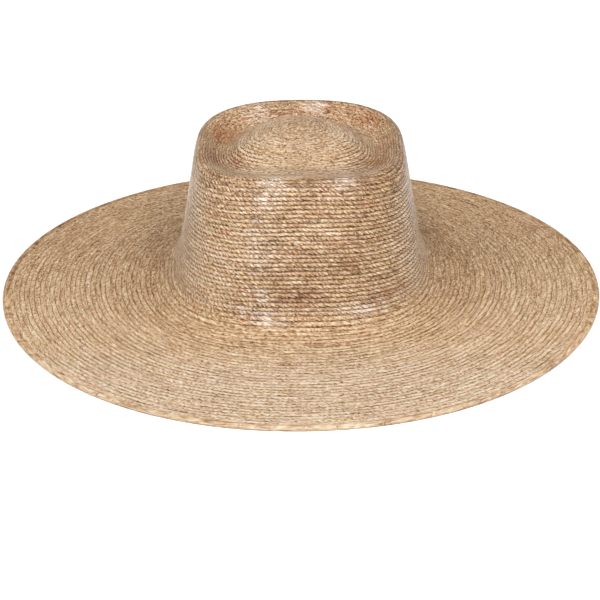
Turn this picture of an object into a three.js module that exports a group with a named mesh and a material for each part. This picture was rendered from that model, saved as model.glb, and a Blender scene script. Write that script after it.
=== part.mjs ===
// Wide-brimmed boater hat of sewn palm-leaf braid, with a telescope crown.
// Millimetres, +Z up. The hat lies on its brim: the border row rests on z = 0 and the front faces -Y.
import * as THREE from "three";
import { toCreasedNormals } from "three/addons/utils/BufferGeometryUtils.js";

const BRAID_THICKNESS = 2.0;
const SEAM_GAP = 0.32;
const BORDER_WIDTH = 4.2;
const SEGMENTS = 72;
const RINGS_PER_STATION = 2;
const HEAD_LINE = 4;
const RIM = 10;

// The outer face of the hat from the brim edge to the middle of the crown, as closed outlines.
// Each row: half width, front end, back end, widest place along Y, squareness of the front and the back
// half, height at the sides, the front and the back.
const STATIONS = [
  // brim
  [203.5, -214.5, 214.5, 6.5, 2.03, 1.98, 2.3, 2.3, 2.3],
  [150.0, -159.0, 164.2, 6.5, 2.1, 2.05, 4.9, 4.9, 4.9],
  [110.0, -118.0, 126.5, 6.5, 2.25, 2.2, 8.0, 8.0, 8.0],
  [95.5, -102.5, 112.7, 6.5, 2.55, 2.3, 12.0, 12.0, 12.0],
  // head line and wall
  [86.5, -93.0, 104.5, 6.5, 2.9, 2.45, 20.5, 20.8, 20.8],
  [82.0, -88.0, 100.0, 6.5, 3.1, 2.5, 33.0, 34.0, 34.0],
  [78.0, -83.0, 96.0, 6.5, 3.3, 2.55, 54.5, 56.5, 56.5],
  [73.5, -77.5, 91.5, 6.5, 3.6, 2.65, 81.0, 84.0, 84.3],
  // shoulder and rim
  [71.3, -74.2, 88.5, 6.5, 3.8, 2.7, 94.0, 97.5, 97.6],
  [69.3, -71.3, 86.5, 6.5, 3.8, 2.75, 100.5, 103.8, 104.1],
  [65.0, -65.5, 82.0, 6.5, 3.6, 2.7, 103.4, 106.3, 106.7],
  [60.5, -57.5, 76.0, 6.5, 3.3, 2.6, 101.0, 104.9, 103.4],
  // groove
  [53.0, -44.5, 66.5, 5.5, 2.8, 2.3, 96.6, 100.8, 96.8],
  // dome, pear-shaped and higher at the back
  [47.0, -33.5, 59.5, 1.5, 2.6, 2.0, 98.6, 100.2, 98.0],
  [40.5, -23.0, 54.0, 2.5, 2.4, 1.95, 103.6, 102.4, 103.6],
  [30.0, -9.0, 46.5, 7.0, 2.15, 1.95, 107.6, 105.6, 108.2],
  [15.0, 7.0, 34.0, 15.5, 2.0, 2.0, 109.7, 108.4, 110.3],
  [5.0, 15.0, 25.0, 19.5, 2.0, 2.0, 110.5, 110.2, 110.7],
];
const CROWN_MIDDLE = new THREE.Vector3(0, 19.8, 110.8);

// Section of the border row: distance in from the brim outline, height.
const BORDER_SECTION = [
  [0.9, 0.0],
  [3.6, 0.0],
  [BORDER_WIDTH, 0.5],
  [BORDER_WIDTH, 2.0],
  [3.6, 2.5],
  [0.9, 2.4],
  [0.0, 1.8],
  [0.0, 0.6],
];

// Distance walked over the outer face along the front middle line, at each station.
const reach = [0];
for (let i = 1; i < STATIONS.length; i++) {
  const alongY = STATIONS[i][1] - STATIONS[i - 1][1];
  const alongZ = STATIONS[i][7] - STATIONS[i - 1][7];
  reach.push(reach[i - 1] + Math.hypot(alongY, alongZ));
}

function columnSlope(i, column) {
  const slopeOf = (k) => (STATIONS[k + 1][column] - STATIONS[k][column]) / (reach[k + 1] - reach[k]);
  if (i === 0) return slopeOf(0);
  if (i === STATIONS.length - 1) return slopeOf(i - 1);
  const before = slopeOf(i - 1);
  const after = slopeOf(i);
  if (before * after <= 0) return 0;
  const spanBefore = reach[i] - reach[i - 1];
  const spanAfter = reach[i + 1] - reach[i];
  const weightBefore = 2 * spanAfter + spanBefore;
  const weightAfter = spanAfter + 2 * spanBefore;
  return (weightBefore + weightAfter) / (weightBefore / before + weightAfter / after);
}

// The station row at a distance from the brim edge, smooth and without overshoot between the given rows.
function stationAt(distance) {
  let i = 0;
  while (i < reach.length - 2 && distance > reach[i + 1]) i++;
  const span = reach[i + 1] - reach[i];
  const t = (distance - reach[i]) / span;
  const startWeight = (1 + 2 * t) * (1 - t) * (1 - t);
  const endWeight = t * t * (3 - 2 * t);
  const startPull = t * (1 - t) * (1 - t) * span;
  const endPull = t * t * (t - 1) * span;
  return STATIONS[i].map(
    (value, column) =>
      startWeight * value +
      endWeight * STATIONS[i + 1][column] +
      startPull * columnSlope(i, column) +
      endPull * columnSlope(i + 1, column),
  );
}

// A point of the outer face. The angle is 0 at +X and 90 degrees at the back.
function outerPoint(distance, angle) {
  const [halfWidth, front, back, widest, frontSquare, backSquare, sideZ, frontZ, backZ] = stationAt(distance);
  const cos = Math.cos(angle);
  const sin = Math.sin(angle);
  const power = backSquare + (frontSquare - backSquare) * 0.5 * (1 - sin);
  const halfLength = sin < 0 ? widest - front : back - widest;
  const sum = Math.abs(cos / halfWidth) ** power + Math.abs(sin / halfLength) ** power;
  const radius = sum ** (-1 / power);
  const endZ = sin < 0 ? frontZ : backZ;
  const height = sideZ + (endZ - sideZ) * sin * sin;
  return new THREE.Vector3(radius * cos, widest + radius * sin, height);
}

// The point under it on the inner face, one braid thickness away.
function innerPoint(distance, angle) {
  const step = 0.05;
  const last = reach[reach.length - 1];
  const from = Math.max(distance - step, 0);
  const to = Math.min(distance + step, last);
  const along = outerPoint(to, angle).sub(outerPoint(from, angle));
  const round = outerPoint(distance, angle + 0.002).sub(outerPoint(distance, angle - 0.002));
  const normal = round.cross(along).normalize();
  return outerPoint(distance, angle).addScaledVector(normal, -BRAID_THICKNESS);
}

function ring(pointAt) {
  const points = [];
  for (let k = 0; k < SEGMENTS; k++) {
    points.push(pointAt((k / SEGMENTS) * 2 * Math.PI));
  }
  return points;
}

// Joins rings of equal length in order. A closed run also joins the last ring to the first. Where a cap
// point is given, the first or the last ring is closed to it by a fan.
function bodyFromRings(rings, { closed = false, firstCap = null, lastCap = null } = {}) {
  const points = rings.flat();
  const triangles = [];
  const at = (i, k) => (i % rings.length) * SEGMENTS + (k % SEGMENTS);
  const steps = closed ? rings.length : rings.length - 1;
  for (let i = 0; i < steps; i++) {
    for (let k = 0; k < SEGMENTS; k++) {
      triangles.push(at(i, k), at(i, k + 1), at(i + 1, k + 1));
      triangles.push(at(i, k), at(i + 1, k + 1), at(i + 1, k));
    }
  }
  if (lastCap) {
    points.push(lastCap);
    for (let k = 0; k < SEGMENTS; k++) {
      triangles.push(at(rings.length - 1, k), at(rings.length - 1, k + 1), points.length - 1);
    }
  }
  if (firstCap) {
    points.push(firstCap);
    for (let k = 0; k < SEGMENTS; k++) {
      triangles.push(at(0, k + 1), at(0, k), points.length - 1);
    }
  }
  const geometry = new THREE.BufferGeometry().setFromPoints(points);
  geometry.setIndex(triangles);
  return toCreasedNormals(geometry, Math.PI / 5);
}

// Distances of the rings between two places, with every station in between kept.
function ringDistances(from, to) {
  const fine = [];
  for (let i = 0; i < reach.length - 1; i++) {
    for (let k = 0; k < RINGS_PER_STATION; k++) {
      fine.push(reach[i] + ((reach[i + 1] - reach[i]) * k) / RINGS_PER_STATION);
    }
  }
  fine.push(reach[reach.length - 1]);
  const between = fine.filter((distance) => distance > from + 1 && distance < to - 1);
  return [from, ...between, to];
}

// A shell of braid between two distances: the outer face, the inner face and the edges that join them.
function shellRings(from, to) {
  const distances = ringDistances(from, to);
  const outer = distances.map((distance) => ring((angle) => outerPoint(distance, angle)));
  const inner = distances.map((distance) => ring((angle) => innerPoint(distance, angle)));
  return { outer, inner };
}

function brimGeometry() {
  const { outer, inner } = shellRings(BORDER_WIDTH + SEAM_GAP, reach[HEAD_LINE] - SEAM_GAP / 2);
  return bodyFromRings([...outer, ...inner.reverse()], { closed: true });
}

function crownWallGeometry() {
  const { outer, inner } = shellRings(reach[HEAD_LINE] + SEAM_GAP / 2, reach[RIM] - SEAM_GAP / 2);
  return bodyFromRings([...outer, ...inner.reverse()], { closed: true });
}

function crownTipGeometry() {
  const { outer, inner } = shellRings(reach[RIM] + SEAM_GAP / 2, reach[reach.length - 1]);
  const innerMiddle = CROWN_MIDDLE.clone().setZ(CROWN_MIDDLE.z - BRAID_THICKNESS);
  return bodyFromRings([...inner.reverse(), ...outer], { firstCap: innerMiddle, lastCap: CROWN_MIDDLE });
}

function borderGeometry() {
  const rings = BORDER_SECTION.map(([inset, height]) => ring((angle) => outerPoint(inset, angle).setZ(height)));
  return bodyFromRings(rings.reverse(), { closed: true });
}

function straw(color) {
  return new THREE.MeshStandardMaterial({ color, roughness: 0.6, metalness: 0 });
}

const hat = new THREE.Group();
hat.name = "boater_hat";
const pieces = [
  ["crown_tip", crownTipGeometry(), straw(0xc6a27c)],
  ["crown_wall", crownWallGeometry(), straw(0xc39f79)],
  ["brim", brimGeometry(), straw(0xd2b18c)],
  ["brim_border", borderGeometry(), straw(0xc9a67d)],
];
for (const [name, geometry, material] of pieces) {
  const piece = new THREE.Mesh(geometry, material);
  piece.name = name;
  hat.add(piece);
}

export default hat;
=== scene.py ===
"""Wide-brimmed boater hat of sewn palm-leaf braid, lying brim down on a pale floor.

The braid's rows are real relief on the solids' outer and inner faces. Lengths are in millimetres up to
the point where a mesh is made, and in metres in Blender.
"""

import math

import bpy
import numpy as np
from mathutils import Matrix, Vector


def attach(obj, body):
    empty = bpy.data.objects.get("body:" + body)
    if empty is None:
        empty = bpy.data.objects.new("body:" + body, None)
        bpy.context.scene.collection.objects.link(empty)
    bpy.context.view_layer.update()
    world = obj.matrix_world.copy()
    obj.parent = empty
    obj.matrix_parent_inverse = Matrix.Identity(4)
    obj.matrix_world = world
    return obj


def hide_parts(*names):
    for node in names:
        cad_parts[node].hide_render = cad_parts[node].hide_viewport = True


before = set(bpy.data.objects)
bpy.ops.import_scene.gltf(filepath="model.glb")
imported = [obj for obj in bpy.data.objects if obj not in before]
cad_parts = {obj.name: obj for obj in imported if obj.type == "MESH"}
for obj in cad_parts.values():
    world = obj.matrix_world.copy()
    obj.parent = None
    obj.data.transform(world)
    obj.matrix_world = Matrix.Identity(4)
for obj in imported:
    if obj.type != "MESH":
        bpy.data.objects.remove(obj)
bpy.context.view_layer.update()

MM = 0.001
BRAID_THICKNESS = 2.0
BORDER_WIDTH = 4.2
BORDER_MIDDLE_HEIGHT = 1.3
SEAM_GAP = 0.32
HAT_MIDDLE_Y = 6.5

# Strands: their width along the row, how many widths they slant by across a row, and how far their ends
# hang below the seam as a share of the row.
STRAND_PITCH = 3.4
WALL_LEAN = 0.85
BRIM_JAG = 0.12
WALL_JAG = 0.45
TIP_JAG = 0.2
BORDER_PITCH = 2.6
BORDER_LEAN = 5.0

# The power of a strand's rounded section, what is taken off it so that a row keeps about its own height, and
# how deep the border row's valleys are as a share of its thickness.
STRAND_ROUNDNESS = 2.5
BULGE_SHIFT = 0.6
BORDER_STRAND_DEPTH = 0.03

# Outlines of the outer face from the brim edge to the middle of the crown, the same as the solids'.
# Each row: half width, front end, back end, widest place along Y, squareness of the front and the back
# half, height at the sides, the front and the back.
STATIONS = np.array([
    # brim
    [203.5, -214.5, 214.5, 6.5, 2.03, 1.98, 2.3, 2.3, 2.3],
    [150.0, -159.0, 164.2, 6.5, 2.1, 2.05, 4.9, 4.9, 4.9],
    [110.0, -118.0, 126.5, 6.5, 2.25, 2.2, 8.0, 8.0, 8.0],
    [95.5, -102.5, 112.7, 6.5, 2.55, 2.3, 12.0, 12.0, 12.0],
    # head line and wall
    [86.5, -93.0, 104.5, 6.5, 2.9, 2.45, 20.5, 20.8, 20.8],
    [82.0, -88.0, 100.0, 6.5, 3.1, 2.5, 33.0, 34.0, 34.0],
    [78.0, -83.0, 96.0, 6.5, 3.3, 2.55, 54.5, 56.5, 56.5],
    [73.5, -77.5, 91.5, 6.5, 3.6, 2.65, 81.0, 84.0, 84.3],
    # shoulder and rim
    [71.3, -74.2, 88.5, 6.5, 3.8, 2.7, 94.0, 97.5, 97.6],
    [69.3, -71.3, 86.5, 6.5, 3.8, 2.75, 100.5, 103.8, 104.1],
    [65.0, -65.5, 82.0, 6.5, 3.6, 2.7, 103.4, 106.3, 106.7],
    [60.5, -57.5, 76.0, 6.5, 3.3, 2.6, 101.0, 104.9, 103.4],
    # groove
    [53.0, -44.5, 66.5, 5.5, 2.8, 2.3, 96.6, 100.8, 96.8],
    # dome, pear-shaped and higher at the back
    [47.0, -33.5, 59.5, 1.5, 2.6, 2.0, 98.6, 100.2, 98.0],
    [40.5, -23.0, 54.0, 2.5, 2.4, 1.95, 103.6, 102.4, 103.6],
    [30.0, -9.0, 46.5, 7.0, 2.15, 1.95, 107.6, 105.6, 108.2],
    [15.0, 7.0, 34.0, 15.5, 2.0, 2.0, 109.7, 108.4, 110.3],
    [5.0, 15.0, 25.0, 19.5, 2.0, 2.0, 110.5, 110.2, 110.7],
])
HEAD_LINE = 4
RIM = 10
CROWN_MIDDLE = np.array([0.0, 19.8, 110.8])

# Distance walked over the outer face along the front middle line, at each station.
REACH = np.concatenate([[0.0], np.cumsum(np.hypot(np.diff(STATIONS[:, 1]), np.diff(STATIONS[:, 7])))])

# Braid rows, from the brim edge to the middle of the crown, and the distance of the lines between them.
BRIM_ROWS = 34
WALL_ROWS = 32
TIP_ROWS = 26
WALL_START = BRIM_ROWS
TIP_START = BRIM_ROWS + WALL_ROWS
DOME_START = TIP_START + 12
ROW_COUNT = BRIM_ROWS + WALL_ROWS + TIP_ROWS
ROW_LINES = np.concatenate([
    np.linspace(BORDER_WIDTH + SEAM_GAP, REACH[HEAD_LINE], BRIM_ROWS + 1),
    np.linspace(REACH[HEAD_LINE], REACH[RIM], WALL_ROWS + 1)[1:],
    np.linspace(REACH[RIM], REACH[-1], TIP_ROWS + 1)[1:],
])

# Where a piece of the braid ends within a row: at the row's top, where the join shows least.
ROW_TOP = 0.4

# The faces that close a piece take their look from this far inside it, in rows.
EDGE_INSET = 0.02

# How much of the outer face's relief the inner face has.
INNER_RELIEF = 0.8

# How much flatter the rows are pressed: most at the rim and at the foot, easing off over a few rows on both
# sides, and evenly on the dome and on the left of the wall.
RIM_PRESS, RIM_PRESS_ROWS = 0.62, 4.5
FOOT_PRESS, FOOT_PRESS_ROWS = 0.35, 2.5
DOME_PRESS = 0.45
LEFT_PRESS = 0.6

# Seeds and waves round the hat of the rows' wobble, of how full they are and of their strands' widths.
WOBBLE_SEED, WOBBLE_WAVES, WOBBLE_SIZE = 11, (2, 3, 5, 8, 13, 21, 34, 55), 0.3
FULLNESS_SEED, FULLNESS_WAVES = 2000, (4, 9, 17, 31, 45)
BRIM_UNEVEN, CROWN_UNEVEN = 0.3, 0.16
SWAY_SEED, SWAY_LENGTHS = 3000, (7.0, 11.0, 17.0, 29.0)
BORDER_SEED, BORDER_WAVES, BORDER_UNEVEN = 5, (7, 15, 29, 41), 0.015
BORDER_SWAY_SEED = 6

# Section of the border row: distance in from the brim outline, height. Its inner top edge laps over the
# brim's first row.
BORDER_SECTION = np.array([
    [4.25, 1.2],
    [4.25, 2.05],
    [4.5, 2.44],
    [5.05, 2.5],
    [5.2, 2.62],
    [4.8, 2.76],
    [3.6, 2.78],
    [2.1, 2.7],
    [0.9, 2.45],
    [0.25, 1.95],
    [0.0, 1.3],
    [0.2, 0.6],
    [0.8, 0.1],
    [1.6, 0.0],
    [3.2, 0.0],
    [4.0, 0.4],
])


def station_slopes():
    """Slope of every column at every station, without overshoot between them."""
    spans = np.diff(REACH)[:, None]
    steps = np.diff(STATIONS, axis=0) / spans
    before, after = steps[:-1], steps[1:]
    weight_before = 2 * spans[1:] + spans[:-1]
    weight_after = spans[1:] + 2 * spans[:-1]
    turns = before * after <= 0
    safe_before = np.where(turns, 1.0, before)
    safe_after = np.where(turns, 1.0, after)
    inner = (weight_before + weight_after) / (weight_before / safe_before + weight_after / safe_after)
    inner = np.where(turns, 0.0, inner)
    return np.vstack([steps[:1], inner, steps[-1:]])


SLOPES = station_slopes()


def station_at(distance):
    """The columns of the stations at each distance from the brim edge, smooth between the given rows."""
    i = np.clip(np.searchsorted(REACH, distance, side="right") - 1, 0, len(REACH) - 2)
    span = REACH[i + 1] - REACH[i]
    t = (distance - REACH[i]) / span
    row = ((1 + 2 * t) * (1 - t) ** 2)[..., None] * STATIONS[i]
    row += (t * t * (3 - 2 * t))[..., None] * STATIONS[i + 1]
    row += (t * (1 - t) ** 2 * span)[..., None] * SLOPES[i]
    row += (t * t * (t - 1) * span)[..., None] * SLOPES[i + 1]
    return np.moveaxis(row, -1, 0)


def outer_face(distance, angle):
    """Points of the outer face. The angle is 0 at +X and 90 degrees at the back."""
    distance, angle = np.broadcast_arrays(distance, angle)
    columns = station_at(distance)
    half_width, front, back, widest, front_square, back_square, side_z, front_z, back_z = columns
    cos, sin = np.cos(angle), np.sin(angle)
    power = back_square + (front_square - back_square) * 0.5 * (1 - sin)
    half_length = np.where(sin < 0, widest - front, back - widest)
    radius = (np.abs(cos / half_width) ** power + np.abs(sin / half_length) ** power) ** (-1 / power)
    end_z = np.where(sin < 0, front_z, back_z)
    height = side_z + (end_z - side_z) * sin * sin
    return np.stack([radius * cos, widest + radius * sin, height], -1)


def outward(distance, angle):
    """Unit normals of the outer face."""
    step, turn = 0.05, 0.002
    after = outer_face(np.minimum(distance + step, REACH[-1]), angle)
    before = outer_face(np.maximum(distance - step, 0), angle)
    round_it = outer_face(distance, angle + turn) - outer_face(distance, angle - turn)
    normal = np.cross(round_it, after - before)
    return normal / np.linalg.norm(normal, axis=-1, keepdims=True)


def angles_round(rounds):
    """Angles once round the hat from the back, with the first one again at the end."""
    return np.linspace(0, 2 * math.pi, rounds + 1) + math.pi / 2


def ripple(seed, angle, waves, size):
    """A smooth closed wobble round the hat, made of a few seeded waves."""
    random = np.random.default_rng(seed)
    total = np.zeros_like(angle)
    for wave in waves:
        total += random.normal() * np.sin(wave * angle + random.uniform(0, 2 * math.pi))
    return size * total / math.sqrt(len(waves))


def sway(seed, length):
    """Shifts lengths along a row to and fro, so that its strands aren't all one width."""
    random = np.random.default_rng(seed)
    turn, steepness, strength = 6.28, 0.12, 1.6
    total = np.zeros_like(length)
    for wave in SWAY_LENGTHS:
        size = steepness * wave * random.uniform(0.3, 1.0) / turn
        total += size * np.sin(turn * length / wave + random.uniform(0, turn))
    return length + strength * total


def row_profile(across):
    """Height of a row across its width: steep at its outer edge, easing under the next row inward."""
    return np.sin(math.pi * across ** 0.5) ** 0.6


def strand_bulge(coordinate):
    """Height over one strand of the braid, with a narrow valley on each side."""
    place = coordinate - np.floor(coordinate)
    return 1 - np.abs(2 * place - 1) ** STRAND_ROUNDNESS


def straw_mesh(name, points, faces, corner_values, flat_faces=0):
    """A smooth mesh of quads, and of triangles where the last index repeats. The last faces can be flat."""
    mesh = bpy.data.meshes.new(name)
    is_quad = faces[:, 3] != faces[:, 2]
    sizes = np.where(is_quad, 4, 3)
    keep = np.ones(faces.shape, bool)
    keep[~is_quad, 3] = False
    starts = np.concatenate([[0], np.cumsum(sizes)[:-1]])
    mesh.vertices.add(len(points))
    mesh.vertices.foreach_set("co", (points * MM).astype(np.float32).ravel())
    mesh.loops.add(int(sizes.sum()))
    mesh.loops.foreach_set("vertex_index", faces[keep].astype(np.int32))
    mesh.polygons.add(len(faces))
    mesh.polygons.foreach_set("loop_start", starts.astype(np.int32))
    mesh.polygons.foreach_set("use_smooth", np.arange(len(faces)) < len(faces) - flat_faces)
    layer = mesh.uv_layers.new(name="braid")
    layer.data.foreach_set("uv", corner_values[keep].astype(np.float32).ravel())
    mesh.update(calc_edges=True)
    mesh.validate()
    piece = bpy.data.objects.new(name, mesh)
    bpy.context.scene.collection.objects.link(piece)
    return piece


def line_places(start, end, per_row):
    """Row places of the grid lines from start to end. Every row has one at its top."""
    to_top = 2 if per_row > 2 else 1
    steps = np.concatenate([
        np.linspace(0, ROW_TOP, to_top + 1)[:-1],
        np.linspace(ROW_TOP, 1, per_row - to_top + 1)[:-1],
    ])
    places = np.append((np.arange(ROW_COUNT)[:, None] + steps).ravel(), float(ROW_COUNT))
    return places[(places > start - 0.01) & (places < end + 0.01)]


def seam_lines(first, last, angle):
    """Distances of the lines on both sides of rows first to last, each with its own wobble."""
    lines = []
    for k in range(first, last + 2):
        # The brim's edge and the middle of the crown stay in place.
        size = 0.0 if k in (0, ROW_COUNT) else WOBBLE_SIZE
        lines.append(ROW_LINES[k] + ripple(WOBBLE_SEED + k, angle, WOBBLE_WAVES, size))
    return np.array(lines)


def row_lengths(lines, first, angle):
    """Length along the middle of each row at each angle."""
    path = outer_face(0.5 * (lines[:-1] + lines[1:]), angle)
    length = np.cumsum(np.linalg.norm(np.diff(path, axis=1), axis=-1), axis=1)
    length = np.concatenate([np.zeros((len(path), 1)), length], 1)
    return np.array([sway(SWAY_SEED + first + k, row_length) for k, row_length in enumerate(length)])


def row_fullness(first, count, angle):
    """How high each row stands at each angle, as a share of its usual height."""
    row_number = first + np.arange(count)
    fullness = []
    for k in row_number:
        uneven = BRIM_UNEVEN if k < WALL_START else CROWN_UNEVEN
        fullness.append(1 + ripple(FULLNESS_SEED + k, angle, FULLNESS_WAVES, uneven))
    rim_row, foot_row = TIP_START - 1, WALL_START + 1
    pressed = RIM_PRESS * np.exp(-((row_number - rim_row) / RIM_PRESS_ROWS) ** 2)
    pressed += FOOT_PRESS * np.exp(-((row_number - foot_row) / FOOT_PRESS_ROWS) ** 2)
    pressed += np.where(row_number >= DOME_START, DOME_PRESS, 0.0)
    fullness = np.array(fullness) * (1 - pressed)[:, None]
    on_wall = (row_number >= WALL_START) & (row_number < TIP_START)
    at_left = np.clip((-np.cos(angle) - 0.2) / 0.35, 0, 1)
    return fullness * (1 - LEFT_PRESS * on_wall[:, None] * at_left)


def relief_grid(start, end, per_row, angle, row_height, strand_height, jag_size):
    """Grid lines from row place start to row place end, and the relief over them.

    Gives each line's distance, the relief, and for each line its row and its place across the row. The last
    value is the length along each row's middle at each angle.
    """
    places = line_places(start, end, per_row)
    row_of = np.minimum(np.floor(places + 0.001).astype(int), ROW_COUNT - 1)
    across = places - row_of
    first = row_of[0]
    lines = seam_lines(first, row_of[-1], angle)
    row_of = row_of - first
    distance = lines[row_of] + across[:, None] * (lines[row_of + 1] - lines[row_of])
    length = row_lengths(lines, first, angle)
    strand_place = length[row_of] / STRAND_PITCH + WALL_LEAN * across[:, None]
    jag = jag_size * (1 - (strand_place - np.floor(strand_place)))
    step = np.clip((across[:, None] - jag) / (1 - jag), 0, 1)
    fullness = row_fullness(first, len(length), angle)
    relief = row_height * fullness[row_of] + strand_height * (strand_bulge(strand_place) - BULGE_SHIFT)
    relief = row_profile(step) * relief - 0.5 * row_height
    return distance, relief, row_of, across, length


def grid_faces(count_lines, rounds, offset):
    """Corner indices of the quads between neighbouring lines, facing outward, with their lines and steps."""
    i, j = np.meshgrid(np.arange(count_lines - 1), np.arange(rounds), indexing="ij")
    i, j = i.ravel(), j.ravel()
    following = (j + 1) % rounds
    low, high = i * rounds, (i + 1) * rounds
    return offset + np.stack([low + j, low + following, high + following, high + j], 1), i, j


def stack_corners(*corners):
    """Puts the length and the row place of each corner of the quads together."""
    return np.stack([np.stack(corner, 1) for corner in corners], 1)


def grid_values(i, j, row_of, across, length, first_row):
    """Length along the row, and row number plus place across it, at each corner of each quad."""
    row = row_of[i]
    low = first_row + row + across[i]
    high = first_row + row + np.where(row_of[i + 1] == row, across[i + 1], 1.0)
    start, end = length[row, j], length[row, j + 1]
    return stack_corners((start, low), (end, low), (end, high), (start, high))


def edge_values(row_length, place):
    """The same length and row place at all four corners of each quad of a closing edge."""
    value = np.stack([row_length[:-1], np.full(len(row_length) - 1, place)], 1)
    return np.repeat(value[:, None], 4, 1)


def end_faces(outer_count, inner_count, rounds, closes_crown):
    """Faces that close a piece at its inward end and at its outward end.

    The inward end of the crown's tip is a fan of triangles on each face, round the two middle points.
    """
    j = np.arange(rounds)
    following = (j + 1) % rounds
    inner_start = outer_count * rounds
    outer_top = inner_start - rounds
    middle = np.full(rounds, inner_start + inner_count * rounds)
    inner_top = middle[0] - rounds
    if closes_crown:
        corners = (
            (outer_top + j, outer_top + following, middle, middle),
            (inner_top + following, inner_top + j, middle + 1, middle + 1),
        )
    else:
        corners = ((outer_top + j, outer_top + following, inner_top + following, inner_top + j),)
    inward_end = [np.stack(corner, 1) for corner in corners]
    outward_end = np.stack([inner_start + j, inner_start + following, following, j], 1)
    return inward_end, outward_end


def braid_shell(name, start, end, rounds, steps, row_height, strand_height, jag_size):
    """One closed piece of the braid between two row places, with its relief on both faces."""
    steps_outside, steps_inside = steps
    first = int(start)
    angle = angles_round(rounds)
    distance, relief, row_of, across, length = relief_grid(
        start, end, steps_outside, angle, row_height, strand_height, jag_size)
    outer = outer_face(distance, angle) + outward(distance, angle) * relief[..., None]
    inner_distance, inner_relief, inner_row_of, inner_across, _ = relief_grid(
        start, end, steps_inside, angle, INNER_RELIEF * row_height, 0.0, 0.0)
    depth = BRAID_THICKNESS + inner_relief
    inner = outer_face(inner_distance, angle) - outward(inner_distance, angle) * depth[..., None]
    outer, inner = outer[:, :-1], inner[:, :-1]

    inner_start = len(outer) * rounds
    outer_faces, i, j = grid_faces(len(outer), rounds, 0)
    outer_values = grid_values(i, j, row_of, across, length, first)
    inner_faces, i, j = grid_faces(len(inner), rounds, inner_start)
    inner_values = grid_values(i, j, inner_row_of, inner_across, length, first)
    points = [outer.reshape(-1, 3), inner.reshape(-1, 3)]
    faces = [outer_faces, inner_faces[:, ::-1]]
    values = [outer_values, inner_values[:, ::-1]]

    closes_crown = end == ROW_COUNT
    inward_end, outward_end = end_faces(len(outer), len(inner), rounds, closes_crown)
    faces += [*inward_end, outward_end]
    values += [edge_values(length[-1], end - EDGE_INSET)] * len(inward_end)
    values.append(edge_values(length[0], start + EDGE_INSET))
    if closes_crown:
        points += [CROWN_MIDDLE[None], CROWN_MIDDLE[None] - [0, 0, BRAID_THICKNESS]]
    points, faces, values = (np.concatenate(part) for part in (points, faces, values))
    # Only the strips that join the two faces are flat.
    flat_faces = rounds if closes_crown else 2 * rounds
    return straw_mesh(name, points, faces, values, flat_faces)


def border_ring(name, rounds):
    """The thicker border row: a flattened cord of leaning strands round the brim outline."""
    count = len(BORDER_SECTION)
    angle = angles_round(rounds)
    around = np.linspace(0, 1, count + 1)[:, None]
    section = np.vstack([BORDER_SECTION, BORDER_SECTION[:1]])
    outline = outer_face(np.full_like(angle, BORDER_WIDTH / 2), angle)
    length = np.concatenate([[0.0], np.cumsum(np.linalg.norm(np.diff(outline, axis=0), axis=1))])
    length = sway(BORDER_SWAY_SEED, length)
    strands = strand_bulge(length / BORDER_PITCH + BORDER_LEAN * around)
    plump = 1 - BORDER_STRAND_DEPTH * (1 - strands) + ripple(BORDER_SEED, angle, BORDER_WAVES, BORDER_UNEVEN)
    middle = np.array([BORDER_WIDTH / 2, BORDER_MIDDLE_HEIGHT])
    inset, height = np.moveaxis(middle + (section - middle)[:, None] * plump[..., None], -1, 0)
    points = outer_face(np.clip(inset, 0, None), angle)
    points[..., 2] = np.maximum(height, 0.0)
    points = points[:-1, :-1]
    i, j = np.meshgrid(np.arange(count), np.arange(rounds), indexing="ij")
    i, j = i.ravel(), j.ravel()
    line, next_line, following = i * rounds, (i + 1) % count * rounds, (j + 1) % rounds
    faces = np.stack([line + j, next_line + j, next_line + following, line + following], 1)
    # The border row is numbered -2 in the braid map, and its last place stays short of -1.
    low, high = i / count - 2, (i + 0.99) / count - 2
    start, end = length[j], length[j + 1]
    values = stack_corners((start, low), (start, high), (end, high), (end, low))
    return straw_mesh(name, points.reshape(-1, 3), faces, values)


# Palm leaf from its darkest to its palest strands, in linear colour.
LEAF_TONES = (
    (0.0, (0.09, 0.043, 0.02)),
    (0.25, (0.22, 0.129, 0.069)),
    (0.45, (0.34, 0.233, 0.143)),
    (0.6, (0.43, 0.319, 0.212)),
    (0.78, (0.505, 0.402, 0.296)),
    (1.0, (0.59, 0.523, 0.434)),
)

# What the leaf's colour is multiplied by where each feature shows.
TINTS = {
    "warm": (1.0, 0.91, 0.78),
    "pink": (0.97, 0.78, 0.68),
    "olive": (0.93, 0.9, 0.66),
    # reddish stain that also paints shade into the groove
    "groove_stain_and_shade": (0.8, 0.58, 0.42),
    "fleck": (0.42, 0.26, 0.16),
    "mark": (0.4, 0.26, 0.18),
    # seam: painted shadow under each row's jagged edge
    "seam": (0.22, 0.12, 0.05),
    "border_line": (0.5, 0.33, 0.2),
    "sub_line": (0.4, 0.24, 0.14),
    "valley": (0.33, 0.18, 0.08),
    "dots": (0.3, 0.15, 0.07),
    "brown_run": (0.68, 0.5, 0.38),
}
# The whitish colour that the painted highlights mix into the leaf.
PAINTED_HIGHLIGHT_COLOUR = (0.7, 0.63, 0.57, 1.0)
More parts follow.
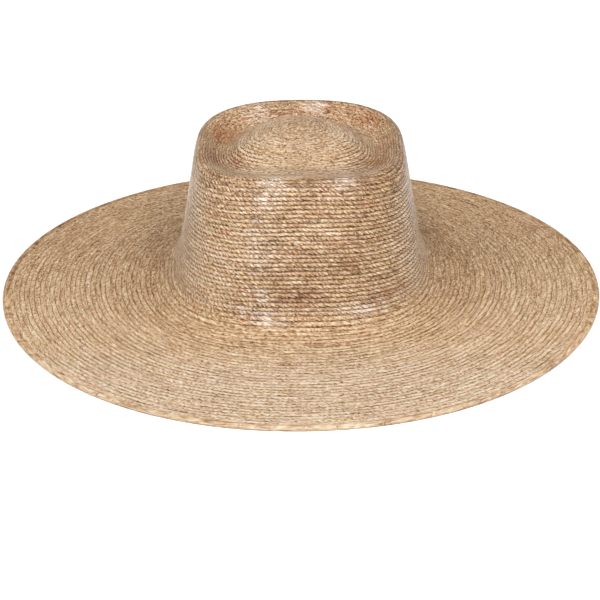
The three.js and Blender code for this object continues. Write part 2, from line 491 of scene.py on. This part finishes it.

# Painted highlights on the crown: the leaf is painted whitish there, and the varnish coat is also thicker.
# Place in metres, reach, strength.
VARNISH_AND_PAINTED_HIGHLIGHTS = (
    # front of the rim
    ((-0.018, -0.069, 0.105), 0.014, 1.3),
    ((0.029, -0.067, 0.105), 0.014, 1.1),
    # front of the wall
    ((-0.022, -0.0745, 0.094), 0.014, 0.8),
    ((-0.026, -0.079, 0.074), 0.015, 0.6),
    ((-0.026, -0.082, 0.056), 0.016, 0.6),
    # foot of the wall
    ((-0.0377, -0.0888, 0.0227), 0.008, 0.6),
    ((-0.03, -0.0915, 0.0205), 0.01, 0.9),
    ((-0.0215, -0.0934, 0.0192), 0.01, 1.0),
    ((-0.0125, -0.095, 0.018), 0.009, 0.7),
    ((0.028, -0.0914, 0.0213), 0.008, 0.6),
    ((0.0358, -0.0894, 0.0224), 0.01, 1.0),
    ((0.0445, -0.0862, 0.0238), 0.01, 0.9),
    ((0.0527, -0.0822, 0.0244), 0.009, 0.6),
    ((-0.0255, -0.0865, 0.034), 0.012, 0.6),
    # back of the groove
    ((-0.029, 0.07, 0.102), 0.014, 0.9),
    ((0.011, 0.0755, 0.103), 0.011, 1.3),
)

# Browner runs of leaf low on the front of the crown: place in metres, reach, strength.
BROWN_RUNS = (
    ((-0.0114, -0.0885, 0.0319), 0.01, 0.7),
    ((-0.0018, -0.0888, 0.0313), 0.011, 0.8),
    ((0.0078, -0.0886, 0.0319), 0.01, 0.7),
    ((0.0457, -0.0833, 0.0311), 0.01, 0.6),
    ((0.0563, -0.0779, 0.03), 0.011, 0.8),
    ((0.0656, -0.0691, 0.0309), 0.01, 0.6),
    ((0.0283, -0.0823, 0.0549), 0.011, 0.5),
)

# How the braid looks in the border row, on the brim, on the crown's wall and on its tip.
LOOKS = {
    # the leaf's usual tone, which also paints light and shade, with the upright wall painted darker than the
    # upturned brim, and how warm it is
    "lightness": (0.6, 0.765, 0.51, 0.645),
    "warmth": (0.1, 0.3, 0.75, 0.8),
    # the strands' width, slant and jag, as above
    "pitch": (BORDER_PITCH, STRAND_PITCH, STRAND_PITCH, STRAND_PITCH),
    "lean": (BORDER_LEAN, 2.4, WALL_LEAN, 2.0),
    "jag": (0.0, BRIM_JAG, WALL_JAG, TIP_JAG),
    # how much the tone changes with runs of leaf, single strands, fibres along a strand, streaks along a
    # row, grain, patches of the hat and whole rows
    "run": (0.4, 0.3, 0.9, 0.6),
    "strand": (0.1, 0.2, 0.2, 0.2),
    "fibre": (0.15, 0.8, 0.65, 0.8),
    "streak": (0.7, 1.15, 0.7, 1.2),
    "grain": (1.6, 1.75, 1.75, 1.9),
    "patch": (0.4, 0.08, 0.5, 0.7),
    "row": (0.0, 0.2, 0.3, 0.2),
    # the grain's slant in millimetres a row, its length in millimetres and how often it changes in a row
    "grain_slant": (0.0, 0.6, 2.2, 0.9),
    "grain_length": (7.0, 3.0, 1.4, 1.9),
    "grain_rows": (14.0, 2.3, 1.3, 2.0),
    # lengths in millimetres of the streaks, and of the dashes that the seams break up into
    "streak_length": (20.0, 20.0, 6.0, 10.0),
    "dash_length": (20.0, 16.0, 12.0, 14.0),
    # how much the pink and the olive runs show
    "hue": (0.3, 0.5, 0.8, 0.8),
    # how common the flecks are, and how much the dark strands show
    "flecks": (0.0, 0.06, 0.045, 0.1),
    "mark": (0.6, 0.4, 0.2, 0.25),
    # how dark the seams are, how far they reach out and in from the strands' ends as a share of the row,
    # and how much of them is left between the dashes
    "seam": (0.0, 1.0, 1.0, 1.0),
    "seam_width": (0.1, 0.3, 0.3, 0.45),
    "seam_top": (0.0, 0.03, 0.03, 0.07),
    "seam_between": (0.0, 0.2, 0.65, 0.5),
    # how dark the lines within a row, the valleys between strands and the dots at their ends are
    "sub_line": (0.2, 1.0, 0.0, 0.3),
    "valley": (0.0, 0.35, 0.65, 0.8),
    "dots": (0.0, 1.0, 1.0, 1.0),
    # how high the strands stand in the bump
    "strand_depth": (0.08, 0.25, 0.5, 0.35),
}

# These keep the noise of one row apart from its neighbours'.
ROW_STRIDE = 7.31
FIBRE_STRIDE = 5.17

# How far the bumps of the straw and of its varnish stand out.
STRAND_BUMP = 0.3 * MM
VARNISH_BUMP = 0.35 * MM


class Shader:
    """Short calls that add the nodes of one material."""

    def __init__(self, name):
        self.material = bpy.data.materials.new(name)
        self.material.use_nodes = True
        self.nodes = self.material.node_tree.nodes
        self.links = self.material.node_tree.links
        self.surface = self.nodes["Principled BSDF"]

    def put(self, socket, value):
        if isinstance(value, bpy.types.NodeSocket):
            self.links.new(value, socket)
        else:
            socket.default_value = value

    def math(self, operation, *values):
        node = self.nodes.new("ShaderNodeMath")
        node.operation = operation
        for socket, value in zip(node.inputs, values):
            self.put(socket, value)
        return node.outputs[0]

    def times(self, product, *values):
        for value in values:
            product = self.math("MULTIPLY", product, value)
        return product

    def minus(self, value, less):
        return self.math("SUBTRACT", value, less)

    def add_share(self, base, share, amount):
        """The base with a share of an amount added to it."""
        return self.math("MULTIPLY_ADD", share, amount, base)

    def rest_of(self, share):
        return self.math("SUBTRACT", 1.0, share)

    def vector(self, x, y, z=0.0):
        node = self.nodes.new("ShaderNodeCombineXYZ")
        for socket, value in zip(node.inputs, (x, y, z)):
            self.put(socket, value)
        return node.outputs[0]

    def split(self, vector):
        node = self.nodes.new("ShaderNodeSeparateXYZ")
        self.put(node.inputs[0], vector)
        return node.outputs["X"], node.outputs["Y"], node.outputs["Z"]

    def distance(self, first, second):
        node = self.nodes.new("ShaderNodeVectorMath")
        node.operation = "DISTANCE"
        self.put(node.inputs[0], first)
        self.put(node.inputs[1], second)
        return node.outputs["Value"]

    def noise(self, place, scale=1.0, detail=2.0, roughness=0.5):
        node = self.nodes.new("ShaderNodeTexNoise")
        self.put(node.inputs["Vector"], place)
        node.inputs["Scale"].default_value = scale
        node.inputs["Detail"].default_value = detail
        node.inputs["Roughness"].default_value = roughness
        return node.outputs["Fac"]

    def dice(self, place):
        node = self.nodes.new("ShaderNodeTexWhiteNoise")
        node.noise_dimensions = "3D"
        self.put(node.inputs["Vector"], place)
        return node.outputs["Value"]

    def span(self, value, low, high, to_low=0.0, to_high=1.0):
        """Eases from one value to another as a value goes from low to high."""
        node = self.nodes.new("ShaderNodeMapRange")
        node.interpolation_type = "SMOOTHSTEP"
        self.put(node.inputs["Value"], value)
        for key, number in zip(("From Min", "From Max", "To Min", "To Max"), (low, high, to_low, to_high)):
            self.put(node.inputs[key], number)
        return node.outputs["Result"]

    def ramp(self, value, colours):
        node = self.nodes.new("ShaderNodeValToRGB")
        self.put(node.inputs["Fac"], value)
        stops = node.color_ramp.elements
        while len(stops) < len(colours):
            stops.new(0.5)
        for stop, (place, colour) in zip(stops, colours):
            stop.position = place
            stop.color = (*colour, 1.0)
        return node.outputs["Color"]

    def mix(self, share, first, second, blend="MIX"):
        node = self.nodes.new("ShaderNodeMix")
        node.data_type = "RGBA"
        node.blend_type = blend
        self.put(node.inputs["Factor"], share)
        self.put(node.inputs["A"], first)
        self.put(node.inputs["B"], second)
        return node.outputs["Result"]

    def tint(self, colour, tint_name, share):
        return self.mix(share, colour, (*TINTS[tint_name], 1.0), "MULTIPLY")

    def bump(self, height, distance, normal):
        node = self.nodes.new("ShaderNodeBump")
        node.inputs["Distance"].default_value = distance
        node.inputs["Strength"].default_value = 1.0
        self.links.new(height, node.inputs["Height"])
        self.links.new(node.outputs["Normal"], self.surface.inputs[normal])


class Braid(Shader):
    """A material that knows its place in the braid.

    The braid map gives the length along a row, and the row number plus the place across the row.
    """

    def __init__(self, name):
        super().__init__(name)
        braid_map = self.nodes.new("ShaderNodeUVMap")
        braid_map.uv_map = "braid"
        self.length, self.rows, _ = self.split(braid_map.outputs["UV"])
        self.where = self.nodes.new("ShaderNodeTexCoord").outputs["Object"]
        self.side, self.depth, _ = self.split(self.where)
        self.to_side = self.math("ABSOLUTE", self.side)
        self.row = self.math("FLOOR", self.rows)
        self.across = self.math("FRACT", self.rows)
        self.past_border = self.math("GREATER_THAN", self.row, -0.5)
        self.past_brim = self.span(self.row, WALL_START - 4, WALL_START + 1)
        self.past_wall = self.span(self.row, TIP_START - 1, TIP_START + 2)
        self.on_wall = self.minus(self.past_brim, self.past_wall)
        self.find_strand()
        self.find_regions()
        self.find_leaf()

    def look(self, key):
        border, brim, wall, tip = LOOKS[key]
        value = self.add_share(border, self.past_border, brim - border)
        value = self.add_share(value, self.past_brim, wall - brim)
        return self.add_share(value, self.past_wall, tip - wall)

    def find_strand(self):
        """The strand that shows, and the place in it.

        Each strand end hangs a little lower than the one before it. Above that jagged edge the row shows,
        and under it the row outside it, in its shadow.
        """
        lean = self.look("lean")
        strands_along = self.math("DIVIDE", self.length, self.look("pitch"))
        end_place = self.rest_of(self.math("FRACT", self.add_share(strands_along, self.across, lean)))
        self.above = self.minus(self.across, self.times(end_place, self.look("jag")))
        is_under = self.times(self.math("LESS_THAN", self.above, 0.0), self.past_border)
        self.row = self.minus(self.row, is_under)
        self.across_seen = self.math("ADD", self.across, is_under)
        self.strand_place = self.add_share(strands_along, self.across_seen, lean)
        self.strand = self.math("FLOOR", self.strand_place)
        in_strand = self.math("FRACT", self.strand_place)
        self.from_middle = self.math("ABSOLUTE", self.math("MULTIPLY_ADD", in_strand, 2.0, -1.0))

    def find_regions(self):
        """Parts of the hat that look a little different in the photograph."""
        # Most of these regions carry painted light and shade in the leaf's tone.
        near_crown = self.span(self.row, WALL_START - 18, WALL_START - 4)
        self.near_crown = self.minus(near_crown, self.past_brim)
        past_groove = self.span(self.row, TIP_START + 8, TIP_START + 13)
        in_groove = self.minus(self.span(self.row, TIP_START - 1, TIP_START + 3), past_groove)
        self.groove = self.times(in_groove, self.span(self.depth, -0.045, -0.01))
        on_brim = self.math("LESS_THAN", self.row, WALL_START - 0.5)
        self.behind = self.times(self.span(self.depth, -0.12, 0.1), on_brim)
        self.shoulder = self.minus(self.span(self.row, TIP_START - 7, TIP_START - 3), self.past_wall)
        self.ledge = self.times(self.past_wall, self.span(self.depth, -0.02, -0.045))
        self.wall_side = self.times(self.span(self.to_side, 0.05, 0.07), self.on_wall)
        self.wall_left = self.times(self.span(self.side, -0.025, -0.04), self.on_wall)

    def along(self, stretch, rows_scale, seed):
        """Places for noise that runs on from row to row."""
        place = self.math("DIVIDE", self.length, stretch)
        return self.vector(place, self.times(self.rows, rows_scale), seed)

    def along_row(self, stretch, seed):
        """Places for noise that each row has of its own."""
        place = self.math("DIVIDE", self.length, stretch)
        return self.vector(place, self.times(self.row, ROW_STRIDE), seed)

    def find_leaf(self):
        """Random values of the leaf: each strand's own, streaks, fibres, grain and ragged edges."""
        self.own = self.dice(self.vector(self.strand, self.row, 0.5))
        self.streak = self.noise(self.along(self.look("streak_length"), 1.7, 1.0), detail=3.0, roughness=0.7)
        fibre_across = self.times(self.strand_place, 2.5)
        fibre_place = self.vector(fibre_across, self.across_seen, self.times(self.row, FIBRE_STRIDE))
        self.fibre = self.noise(fibre_place, detail=2.0, roughness=0.6)
        slanting = self.add_share(self.length, self.rows, self.look("grain_slant"))
        slanting = self.math("DIVIDE", slanting, self.look("grain_length"))
        grain_place = self.vector(slanting, self.times(self.rows, self.look("grain_rows")), 9.0)
        self.grain = self.noise(grain_place, detail=1.5, roughness=0.7)
        ragged = self.noise(self.along(9.0, 0.6, 13.0), detail=3.0, roughness=0.7)
        self.ragged = self.times(self.minus(ragged, 0.45), 2.0)


def leaf_tone(s):
    """How pale the leaf is, from 0 to 1 along its tones."""
    parts = (
        ("run", s.noise(s.along_row(12.0, 2.0), detail=2.0, roughness=0.6)),
        ("strand", s.own),
        ("fibre", s.fibre),
        ("streak", s.streak),
        ("grain", s.grain),
        ("patch", s.noise(s.where, scale=20.0, detail=2.0)),
        ("row", s.noise(s.along_row(110.0, 3.0), detail=1.0)),
    )
    tone = s.look("lightness")
    for key, part in parts:
        tone = s.add_share(tone, s.minus(part, 0.5), s.look(key))
    # Painted light and shade: the shoulder, which takes more light than the ledge inside the rim, is painted
    # darker, and the ledge, which is as pale in front, is painted paler. The back of the brim, the brim near
    # the crown and the groove are painted darker as shade, and the wall's sides and its left are painted
    # paler as if lit.
    painted_light_and_shade = (
        (s.shoulder, -0.12),
        (s.ledge, 0.3),
        (s.behind, -0.18),
        (s.near_crown, -0.12),
        (s.groove, s.span(s.side, 0.01, 0.05, -0.09, -0.02)),
        (s.wall_side, 0.07),
        (s.wall_left, 0.1),
    )
    for region, shift in painted_light_and_shade:
        tone = s.add_share(tone, region, shift)
    return tone


def leaf_colour(s):
    """The leaf's colour by its tone, with its warmth, its pink and olive runs, and the groove's reddish
    stains with painted shade.
    """
    leaf = s.ramp(leaf_tone(s), LEAF_TONES)
    # The brim is palest in front.
    warm = s.times(s.span(s.depth, -0.17, -0.05), s.rest_of(s.past_brim))
    warm = s.math("ADD", warm, s.add_share(s.look("warmth"), s.groove, 0.1))
    leaf = s.tint(leaf, "warm", warm)

    hue = s.noise(s.along(22.0, 0.45, 5.0), detail=2.0, roughness=0.6)
    hue = s.add_share(hue, s.minus(s.dice(s.vector(s.strand, s.row, 7.5)), 0.5), 0.08)
    hue = s.add_share(hue, s.groove, 0.03)
    hue_share = s.look("hue")
    leaf = s.tint(leaf, "pink", s.times(s.span(hue, 0.53, 0.66, 0.0, 0.8), hue_share))
    leaf = s.tint(leaf, "olive", s.times(s.span(hue, 0.47, 0.34, 0.0, 0.7), hue_share))

    # Reddish stain patches that also paint shade into the groove.
    groove_stain_and_shade = s.span(s.noise(s.where, scale=42.0, detail=3.0, roughness=0.6), 0.48, 0.62)
    return s.tint(leaf, "groove_stain_and_shade", s.times(groove_stain_and_shade, s.groove, 0.8))


def add_flecks(s, leaf):
    """Dark flecks in the leaf, and a few strands that are dark all along."""
    flecks = s.math("ADD", s.noise(s.along(2.2, 2.4, 3.0), detail=2.0, roughness=0.65), s.look("flecks"))
    for region, more in ((s.ledge, 0.03), (s.wall_left, 0.02), (s.groove, 0.02)):
        flecks = s.add_share(flecks, region, more)
    leaf = s.tint(leaf, "fleck", s.span(flecks, 0.64, 0.7))
    mark = s.span(s.add_share(s.own, s.past_border, -0.05), 0.86, 0.9)
    mark = s.times(mark, s.span(s.fibre, 0.35, 0.5), s.look("mark"))
    # The front of the brim has fewer of them.
    mark = s.times(mark, s.span(s.depth, -0.19, -0.14, 0.4, 1.0))
    return s.tint(leaf, "mark", mark)


def where_seen(s):
    """How much the seams show over the hat, and how much the gaps between the strands do."""
    # On the crown's tip the seams show most at the front corners.
    seams_seen = s.times(s.span(s.to_side, 0.012, 0.036), s.span(s.depth, 0.03, -0.01, 0.35, 1.0))
    seams_seen = s.math("MAXIMUM", seams_seen, s.math("MULTIPLY_ADD", s.ledge, 0.5, 0.3))
    seams_seen = s.math("MAXIMUM", seams_seen, s.rest_of(s.past_wall))
    # On the left of the wall the strands show more than the seams.
    at_left = s.times(s.span(s.side, -0.01, -0.045), s.on_wall)
    strands_seen = s.add_share(seams_seen, at_left, 0.45)
    seams_seen = s.add_share(seams_seen, at_left, -0.5)
    # On the sides of the base and on the shoulder the seams break up.
    past_base = s.span(s.row, WALL_START + 2, WALL_START + 7)
    at_base = s.minus(s.span(s.row, WALL_START - 10, WALL_START - 5), past_base)
    at_base = s.times(at_base, s.span(s.to_side, 0.03, 0.07))
    seams_seen = s.add_share(seams_seen, at_base, -0.45)
    seams_seen = s.add_share(seams_seen, s.shoulder, -0.25)
    return seams_seen, strands_seen


def add_seams(s, leaf, seams_seen):
    """The broken shadow under each row's jagged edge. Gives the leaf, the seams and the shadow."""
    top = s.look("seam_top")
    start = s.times(s.look("seam_width"), -1.0)
    full = s.times(start, 0.55)
    seam = s.times(s.span(s.above, start, full), s.span(s.above, s.math("ADD", top, 0.05), top))
    dash = s.noise(s.along_row(s.look("dash_length"), 4.0), detail=2.0)
    dash = s.span(dash, 0.45, 0.6, s.look("seam_between"), 1.0)
    shadow = s.times(s.times(seam, dash), s.times(s.look("seam"), seams_seen))
    leaf = s.tint(leaf, "seam", shadow)
    # A thin brown line divides the border row from the row that it laps over.
    border_line = s.span(s.math("ABSOLUTE", s.minus(s.across, 0.36)), 0.03, 0.01)
    border_line = s.times(s.minus(0.7, s.past_border), border_line)
    return s.tint(leaf, "border_line", s.times(border_line, dash)), seam, shadow


def add_sub_lines(s, leaf):
    """Fine broken lines that part each row into three plies."""
    thirds = s.times(s.across, 3.0)
    sub_line = s.span(s.math("ABSOLUTE", s.minus(s.math("FRACT", thirds), 0.5)), 0.3, 0.5)
    third = s.math("MULTIPLY_ADD", s.row, 3.0, s.math("FLOOR", thirds))
    sub_place = s.vector(s.math("DIVIDE", s.length, 22.0), s.times(third, ROW_STRIDE), 6.0)
    sub_line = s.times(sub_line, s.span(s.noise(sub_place, detail=2.0), 0.46, 0.62))
    return s.tint(leaf, "sub_line", s.times(sub_line, s.look("sub_line")))


def add_gaps(s, leaf, strands_seen):
    """The valleys between strands and the dots at their ends. Gives the leaf, the valleys and the dots."""
    valley = s.times(s.span(s.from_middle, 0.72, 1.0), s.span(s.own, 0.0, 1.0, 0.4, 1.0), strands_seen)
    leaf = s.tint(leaf, "valley", s.times(valley, s.look("valley")))
    dots = s.times(s.span(s.from_middle, 0.5, 0.85), s.span(s.math("ABSOLUTE", s.above), 0.26, 0.1))
    dots = s.times(dots, s.times(strands_seen, s.span(s.own, 0.3, 0.7, 0.2, 1.0)))
    # On the brim they come in clusters.
    cluster = s.span(s.noise(s.where, scale=38.0, detail=2.0), 0.44, 0.58, 0.4, 1.0)
    dots = s.times(dots, s.math("MAXIMUM", cluster, s.past_brim))
    return s.tint(leaf, "dots", s.times(dots, s.look("dots"))), valley, dots


def near_places(s, places):
    """How strongly the listed places show at each point, with ragged edges."""
    nearest = 0.0
    for place, reach, strength in places:
        away = s.math("MULTIPLY_ADD", s.ragged, reach, s.distance(s.where, place))
        nearest = s.math("MAXIMUM", nearest, s.span(away, reach, 0.1 * reach, 0.0, strength))
    return nearest


def add_runs_and_painted_highlights(s, leaf, shadow):
    """The browner runs, and painted highlights where the leaf is mixed toward whitish, with the varnish coat
    also thicker there. Gives the leaf and the highlight spots.
    """
    brown = s.times(near_places(s, BROWN_RUNS), s.span(s.streak, 0.35, 0.55, 0.4, 1.0))
    leaf = s.tint(leaf, "brown_run", brown)
    varnish_and_highlight = s.times(near_places(s, VARNISH_AND_PAINTED_HIGHLIGHTS), s.span(s.math("ADD", s.fibre, s.own), 0.7, 1.2, 0.3, 1.0))
    varnish_and_highlight = s.times(varnish_and_highlight, s.span(s.grain, 0.38, 0.6, 0.35, 1.0), s.rest_of(shadow))
    # Painted highlight: the leaf mixed toward a whitish colour.
    return s.mix(s.times(varnish_and_highlight, 0.6), leaf, PAINTED_HIGHLIGHT_COLOUR), varnish_and_highlight


def palm_braid(name, roughness, gloss, coat):
    """Palm-leaf braid with a coat of varnish, full on the crown and very thin elsewhere."""
    s = Braid(name)
    seams_seen, strands_seen = where_seen(s)
    leaf = add_flecks(s, leaf_colour(s))
    leaf, seam, shadow = add_seams(s, leaf, seams_seen)
    leaf = add_sub_lines(s, leaf)
    leaf, valley, dots = add_gaps(s, leaf, strands_seen)
    leaf, varnish_and_highlight = add_runs_and_painted_highlights(s, leaf, shadow)
    s.links.new(leaf, s.surface.inputs["Base Color"])

    bulge = s.rest_of(s.math("POWER", s.from_middle, STRAND_ROUNDNESS))
    height = s.times(bulge, s.look("strand_depth"))
    height = s.add_share(height, s.fibre, 0.5)
    height = s.add_share(height, s.streak, 0.5)
    height = s.add_share(height, s.times(s.span(s.above, -0.04, 0.08), strands_seen), 0.8)
    s.bump(height, STRAND_BUMP, "Normal")

    # The varnish fills neither the seams nor the gaps between strands.
    bare = s.math("MAXIMUM", s.math("MAXIMUM", seam, valley), dots)
    shine = s.span(s.math("ADD", s.own, s.streak), 0.4, 1.4, roughness - 0.1, roughness + 0.12)
    s.links.new(s.add_share(shine, bare, 0.3), s.surface.inputs["Roughness"])
    # The coat is also thicker at the painted highlight spots.
    varnish = s.math("MULTIPLY_ADD", varnish_and_highlight, 0.45 * coat, 0.55 * coat)
    s.links.new(s.times(varnish, s.rest_of(bare)), s.surface.inputs["Coat Weight"])
    s.surface.inputs["Specular IOR Level"].default_value = gloss
    s.surface.inputs["Coat Roughness"].default_value = 0.2
    # The varnish glints on single strands.
    glint = s.noise(s.along(1.4, 1.6, 11.0), detail=1.0)
    s.bump(s.add_share(glint, bulge, 0.8), VARNISH_BUMP, "Coat Normal")
    return s.material


def photo_camera():
    """A camera at the photograph's viewing angle, about 24 degrees above the brim."""
    elevation = math.radians(23.95)
    extra_tilt = math.radians(0.393)
    roll = math.radians(-0.5)
    distance = 1.65
    focus = Vector((0.0, HAT_MIDDLE_Y * MM, 0.0))
    camera_data = bpy.data.cameras.new("camera")
    camera_data.sensor_width = 36.0
    camera_data.lens = 143.94
    camera_data.shift_x = -0.0016
    camera_data.clip_end = 20.0
    camera = bpy.data.objects.new("camera", camera_data)
    place = focus + distance * Vector((0.0, -math.cos(elevation), math.sin(elevation)))
    tilt = elevation + extra_tilt
    turn = Matrix.Rotation(math.pi / 2 - tilt, 4, "X") @ Matrix.Rotation(roll, 4, "Z")
    camera.matrix_world = Matrix.Translation(place) @ turn
    bpy.context.scene.collection.objects.link(camera)
    bpy.context.scene.camera = camera


def white_room():
    """Even white light from all sides, shown as it is."""
    scene = bpy.context.scene
    scene.view_settings.view_transform = "Standard"
    world = bpy.data.worlds.new("white_room")
    world.use_nodes = True
    background = world.node_tree.nodes["Background"]
    background.inputs["Color"].default_value = (1.0, 1.0, 1.0, 1.0)
    background.inputs["Strength"].default_value = 0.43
    scene.world = world


def soft_lights():
    """Two wide lights, a low one in front and three soft boxes, all aimed at the hat."""
    # kind, name, place, size (radians for the suns, metres for the boxes), strength
    lights = (
        ("SUN", "wide_left", (-1.1, -0.55, 1.25), math.radians(45), 1.2),
        ("SUN", "wide_right", (1.1, -0.55, 1.25), math.radians(45), 0.95),
        ("SUN", "low_left", (-0.17, -0.98, 0.12), math.radians(9), 0.25),
        ("AREA", "soft_box_left", (-0.13, -0.73, 0.81), 0.15, 4.6),
        ("AREA", "soft_box_right", (0.255, -0.7, 0.81), 0.15, 4.0),
        ("AREA", "soft_box_top", (-0.05, -0.1, 1.3), 0.15, 2.2),
    )
    target = Vector((0.0, 0.0, 0.05))
    for kind, name, place, size, strength in lights:
        light_data = bpy.data.lights.new(name, kind)
        if kind == "SUN":
            light_data.angle = size
        else:
            light_data.shape = "SQUARE"
            light_data.size = size
        light_data.energy = strength
        light = bpy.data.objects.new(name, light_data)
        light.location = place
        aim = target - Vector(place)
        light.rotation_euler = aim.to_track_quat("-Z", "Y").to_euler()
        bpy.context.scene.collection.objects.link(light)


def pale_floor():
    """A plain pale floor that the hat lies on."""
    half = 4.0
    mesh = bpy.data.meshes.new("floor")
    corners = [(-half, -half, 0.0), (half, -half, 0.0), (half, half, 0.0), (-half, half, 0.0)]
    mesh.from_pydata(corners, [], [(0, 1, 2, 3)])
    floor = bpy.data.objects.new("floor", mesh)
    bpy.context.scene.collection.objects.link(floor)
    s = Shader("pale_floor")
    s.surface.inputs["Base Color"].default_value = (0.97, 0.97, 0.97, 1.0)
    s.surface.inputs["Roughness"].default_value = 0.9
    mesh.materials.append(s.material)


photo_camera()
white_room()
soft_lights()
pale_floor()

crown_leaf = palm_braid("crown_leaf", roughness=0.48, gloss=0.15, coat=1.0)
brim_leaf = palm_braid("brim_leaf", roughness=0.55, gloss=0.12, coat=0.03)
border_leaf = palm_braid("border_leaf", roughness=0.55, gloss=0.12, coat=0.03)

brim_split = BRIM_ROWS // 2 + ROW_TOP
head_line = WALL_START + ROW_TOP
wall_split = WALL_START + WALL_ROWS // 2 + ROW_TOP
rim = TIP_START + ROW_TOP
# name, first and last row place, steps round, steps across a row outside and inside, row height, strand
# height, jag, material, the node it stands for, its slot
SHELLS = (
    ("brim_outer_rows", 0, brim_split, 920, (4, 2), 0.35, 0.0, 0.0, brim_leaf, "brim", "brim_braid"),
    ("brim_inner_rows", brim_split, head_line, 800, (4, 2), 0.4, 0.08, BRIM_JAG,
     brim_leaf, "brim", "brim_braid"),
    ("crown_wall_lower", head_line, wall_split, 780, (5, 2), 0.32, 0.06, WALL_JAG,
     crown_leaf, "crown_wall", "crown_braid"),
    ("crown_wall_upper", wall_split, rim, 780, (5, 2), 0.32, 0.06, WALL_JAG,
     crown_leaf, "crown_wall", "crown_braid"),
    ("crown_tip_rows", rim, ROW_COUNT, 480, (5, 2), 0.19, 0.04, TIP_JAG,
     crown_leaf, "crown_tip", "crown_braid"),
)
for name, start, end, rounds, steps, row_height, strand_height, jag_size, leaf, node, slot in SHELLS:
    piece = braid_shell(name, start, end, rounds, steps, row_height, strand_height, jag_size)
    piece.data.materials.append(leaf)
    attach(piece, "root")
    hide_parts(node)

border = border_ring("border_row", 1300)
border.data.materials.append(border_leaf)
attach(border, "root")
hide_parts("brim_border")

bpy.context.view_layer.update()
